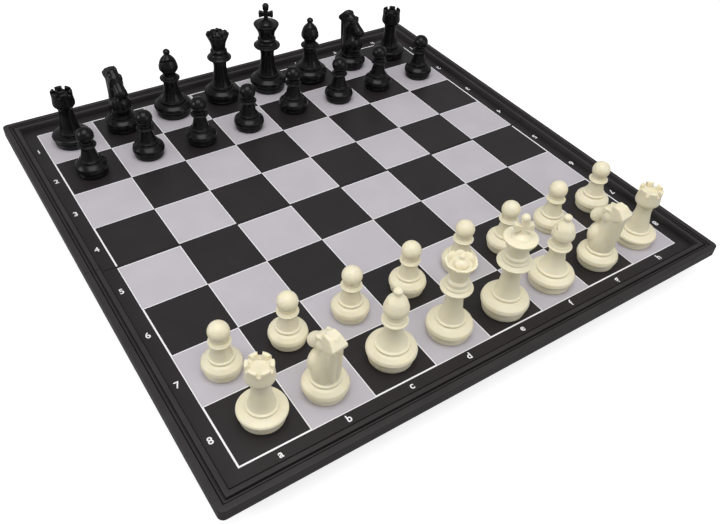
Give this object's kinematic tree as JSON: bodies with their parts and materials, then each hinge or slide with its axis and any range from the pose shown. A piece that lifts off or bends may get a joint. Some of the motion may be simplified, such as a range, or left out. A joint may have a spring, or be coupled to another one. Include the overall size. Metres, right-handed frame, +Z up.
{
  "type": "folding magnetic chess set",
  "caption": "Folding magnetic chess board opened flat with its men set up: two black shells on hinges, printed play sheets, turned plastic men and a sliding catch.",
  "frame": {"origin": "middle of the open board at table level, under its feet", "axes": "+X along the files from a to h, +Y from the near player's edge to the far player's, +Z up from the play surface"},
  "size_m": [0.315, 0.3168, 0.0823],
  "materials": {
    "black_shell": "satin moulded plastic with a fine grain",
    "black_catch": "satin moulded plastic",
    "steel_sheet": "tinned sheet steel",
    "printed_sheet": "satin laminate printed in lavender grey and warm black",
    "hinge_pin": "drawn wire",
    "rubber_foot": "matt rubber",
    "white_man": "ivory plastic, satin, a little translucent",
    "black_man": "black plastic, satin"
  },
  "bodies": {
    "near_half": {"near_shell": "black_shell", "near_steel_sheet": "steel_sheet", "near_play_sheet": "printed_sheet", "near_foot_left": "rubber_foot", "near_foot_right": "rubber_foot", "hinge_pin_left": "hinge_pin", "hinge_pin_right": "hinge_pin"},
    "far_half": {"far_shell": "black_shell", "far_steel_sheet": "steel_sheet", "far_play_sheet": "printed_sheet", "far_foot_left": "rubber_foot", "far_foot_right": "rubber_foot"},
    "catch": {"slide_catch": "black_catch"},
    "white_rook_a_body": {"white_rook_a": "white_man"},
    "white_knight_b_body": {"white_knight_b": "white_man"},
    "white_bishop_c_body": {"white_bishop_c": "white_man"},
    "white_queen_d_body": {"white_queen_d": "white_man"},
    "white_king_e_body": {"white_king_e": "white_man"},
    "white_bishop_f_body": {"white_bishop_f": "white_man"},
    "white_knight_g_body": {"white_knight_g": "white_man"},
    "white_rook_h_body": {"white_rook_h": "white_man"},
    "white_pawn_a_body": {"white_pawn_a": "white_man"},
    "white_pawn_b_body": {"white_pawn_b": "white_man"},
    "white_pawn_c_body": {"white_pawn_c": "white_man"},
    "white_pawn_d_body": {"white_pawn_d": "white_man"},
    "white_pawn_e_body": {"white_pawn_e": "white_man"},
    "white_pawn_f_body": {"white_pawn_f": "white_man"},
    "white_pawn_g_body": {"white_pawn_g": "white_man"},
    "white_pawn_h_body": {"white_pawn_h": "white_man"},
    "black_rook_a_body": {"black_rook_a": "black_man"},
    "black_knight_b_body": {"black_knight_b": "black_man"},
    "black_bishop_c_body": {"black_bishop_c": "black_man"},
    "black_queen_d_body": {"black_queen_d": "black_man"},
    "black_king_e_body": {"black_king_e": "black_man"},
    "black_bishop_f_body": {"black_bishop_f": "black_man"},
    "black_knight_g_body": {"black_knight_g": "black_man"},
    "black_rook_h_body": {"black_rook_h": "black_man"},
    "black_pawn_a_body": {"black_pawn_a": "black_man"},
    "black_pawn_b_body": {"black_pawn_b": "black_man"},
    "black_pawn_c_body": {"black_pawn_c": "black_man"},
    "black_pawn_d_body": {"black_pawn_d": "black_man"},
    "black_pawn_e_body": {"black_pawn_e": "black_man"},
    "black_pawn_f_body": {"black_pawn_f": "black_man"},
    "black_pawn_g_body": {"black_pawn_g": "black_man"},
    "black_pawn_h_body": {"black_pawn_h": "black_man"}
  },
  "joints": [
    {"name": "board_fold", "type": "hinge", "parent": "near_half", "child": "far_half", "pos_m": [0, 0, 0.0035], "axis": [-1, 0, 0], "range_deg": [0, 180]},
    {"name": "catch_slide", "type": "slide", "parent": "near_half", "child": "catch", "axis": [1, 0, 0], "range_m": [0, 0.005]},
    {"name": "white_rook_a_lift", "type": "slide", "parent": "near_half", "child": "white_rook_a_body", "axis": [0, 0, 1], "range_m": [0, 0.08]},
    {"name": "white_knight_b_lift", "type": "slide", "parent": "near_half", "child": "white_knight_b_body", "axis": [0, 0, 1], "range_m": [0, 0.08]},
    {"name": "white_bishop_c_lift", "type": "slide", "parent": "near_half", "child": "white_bishop_c_body", "axis": [0, 0, 1], "range_m": [0, 0.08]},
    {"name": "white_queen_d_lift", "type": "slide", "parent": "near_half", "child": "white_queen_d_body", "axis": [0, 0, 1], "range_m": [0, 0.08]},
    {"name": "white_king_e_lift", "type": "slide", "parent": "near_half", "child": "white_king_e_body", "axis": [0, 0, 1], "range_m": [0, 0.08]},
    {"name": "white_bishop_f_lift", "type": "slide", "parent": "near_half", "child": "white_bishop_f_body", "axis": [0, 0, 1], "range_m": [0, 0.08]},
    {"name": "white_knight_g_lift", "type": "slide", "parent": "near_half", "child": "white_knight_g_body", "axis": [0, 0, 1], "range_m": [0, 0.08]},
    {"name": "white_rook_h_lift", "type": "slide", "parent": "near_half", "child": "white_rook_h_body", "axis": [0, 0, 1], "range_m": [0, 0.08]},
    {"name": "white_pawn_a_lift", "type": "slide", "parent": "near_half", "child": "white_pawn_a_body", "axis": [0, 0, 1], "range_m": [0, 0.08]},
    {"name": "white_pawn_b_lift", "type": "slide", "parent": "near_half", "child": "white_pawn_b_body", "axis": [0, 0, 1], "range_m": [0, 0.08]},
    {"name": "white_pawn_c_lift", "type": "slide", "parent": "near_half", "child": "white_pawn_c_body", "axis": [0, 0, 1], "range_m": [0, 0.08]},
    {"name": "white_pawn_d_lift", "type": "slide", "parent": "near_half", "child": "white_pawn_d_body", "axis": [0, 0, 1], "range_m": [0, 0.08]},
    {"name": "white_pawn_e_lift", "type": "slide", "parent": "near_half", "child": "white_pawn_e_body", "axis": [0, 0, 1], "range_m": [0, 0.08]},
    {"name": "white_pawn_f_lift", "type": "slide", "parent": "near_half", "child": "white_pawn_f_body", "axis": [0, 0, 1], "range_m": [0, 0.08]},
    {"name": "white_pawn_g_lift", "type": "slide", "parent": "near_half", "child": "white_pawn_g_body", "axis": [0, 0, 1], "range_m": [0, 0.08]},
    {"name": "white_pawn_h_lift", "type": "slide", "parent": "near_half", "child": "white_pawn_h_body", "axis": [0, 0, 1], "range_m": [0, 0.08]},
    {"name": "black_rook_a_lift", "type": "slide", "parent": "far_half", "child": "black_rook_a_body", "axis": [0, 0, 1], "range_m": [0, 0.08]},
    {"name": "black_knight_b_lift", "type": "slide", "parent": "far_half", "child": "black_knight_b_body", "axis": [0, 0, 1], "range_m": [0, 0.08]},
    {"name": "black_bishop_c_lift", "type": "slide", "parent": "far_half", "child": "black_bishop_c_body", "axis": [0, 0, 1], "range_m": [0, 0.08]},
    {"name": "black_queen_d_lift", "type": "slide", "parent": "far_half", "child": "black_queen_d_body", "axis": [0, 0, 1], "range_m": [0, 0.08]},
    {"name": "black_king_e_lift", "type": "slide", "parent": "far_half", "child": "black_king_e_body", "axis": [0, 0, 1], "range_m": [0, 0.08]},
    {"name": "black_bishop_f_lift", "type": "slide", "parent": "far_half", "child": "black_bishop_f_body", "axis": [0, 0, 1], "range_m": [0, 0.08]},
    {"name": "black_knight_g_lift", "type": "slide", "parent": "far_half", "child": "black_knight_g_body", "axis": [0, 0, 1], "range_m": [0, 0.08]},
    {"name": "black_rook_h_lift", "type": "slide", "parent": "far_half", "child": "black_rook_h_body", "axis": [0, 0, 1], "range_m": [0, 0.08]},
    {"name": "black_pawn_a_lift", "type": "slide", "parent": "far_half", "child": "black_pawn_a_body", "axis": [0, 0, 1], "range_m": [0, 0.08]},
    {"name": "black_pawn_b_lift", "type": "slide", "parent": "far_half", "child": "black_pawn_b_body", "axis": [0, 0, 1], "range_m": [0, 0.08]},
    {"name": "black_pawn_c_lift", "type": "slide", "parent": "far_half", "child": "black_pawn_c_body", "axis": [0, 0, 1], "range_m": [0, 0.08]},
    {"name": "black_pawn_d_lift", "type": "slide", "parent": "far_half", "child": "black_pawn_d_body", "axis": [0, 0, 1], "range_m": [0, 0.08]},
    {"name": "black_pawn_e_lift", "type": "slide", "parent": "far_half", "child": "black_pawn_e_body", "axis": [0, 0, 1], "range_m": [0, 0.08]},
    {"name": "black_pawn_f_lift", "type": "slide", "parent": "far_half", "child": "black_pawn_f_body", "axis": [0, 0, 1], "range_m": [0, 0.08]},
    {"name": "black_pawn_g_lift", "type": "slide", "parent": "far_half", "child": "black_pawn_g_body", "axis": [0, 0, 1], "range_m": [0, 0.08]},
    {"name": "black_pawn_h_lift", "type": "slide", "parent": "far_half", "child": "black_pawn_h_body", "axis": [0, 0, 1], "range_m": [0, 0.08]}
  ]
}
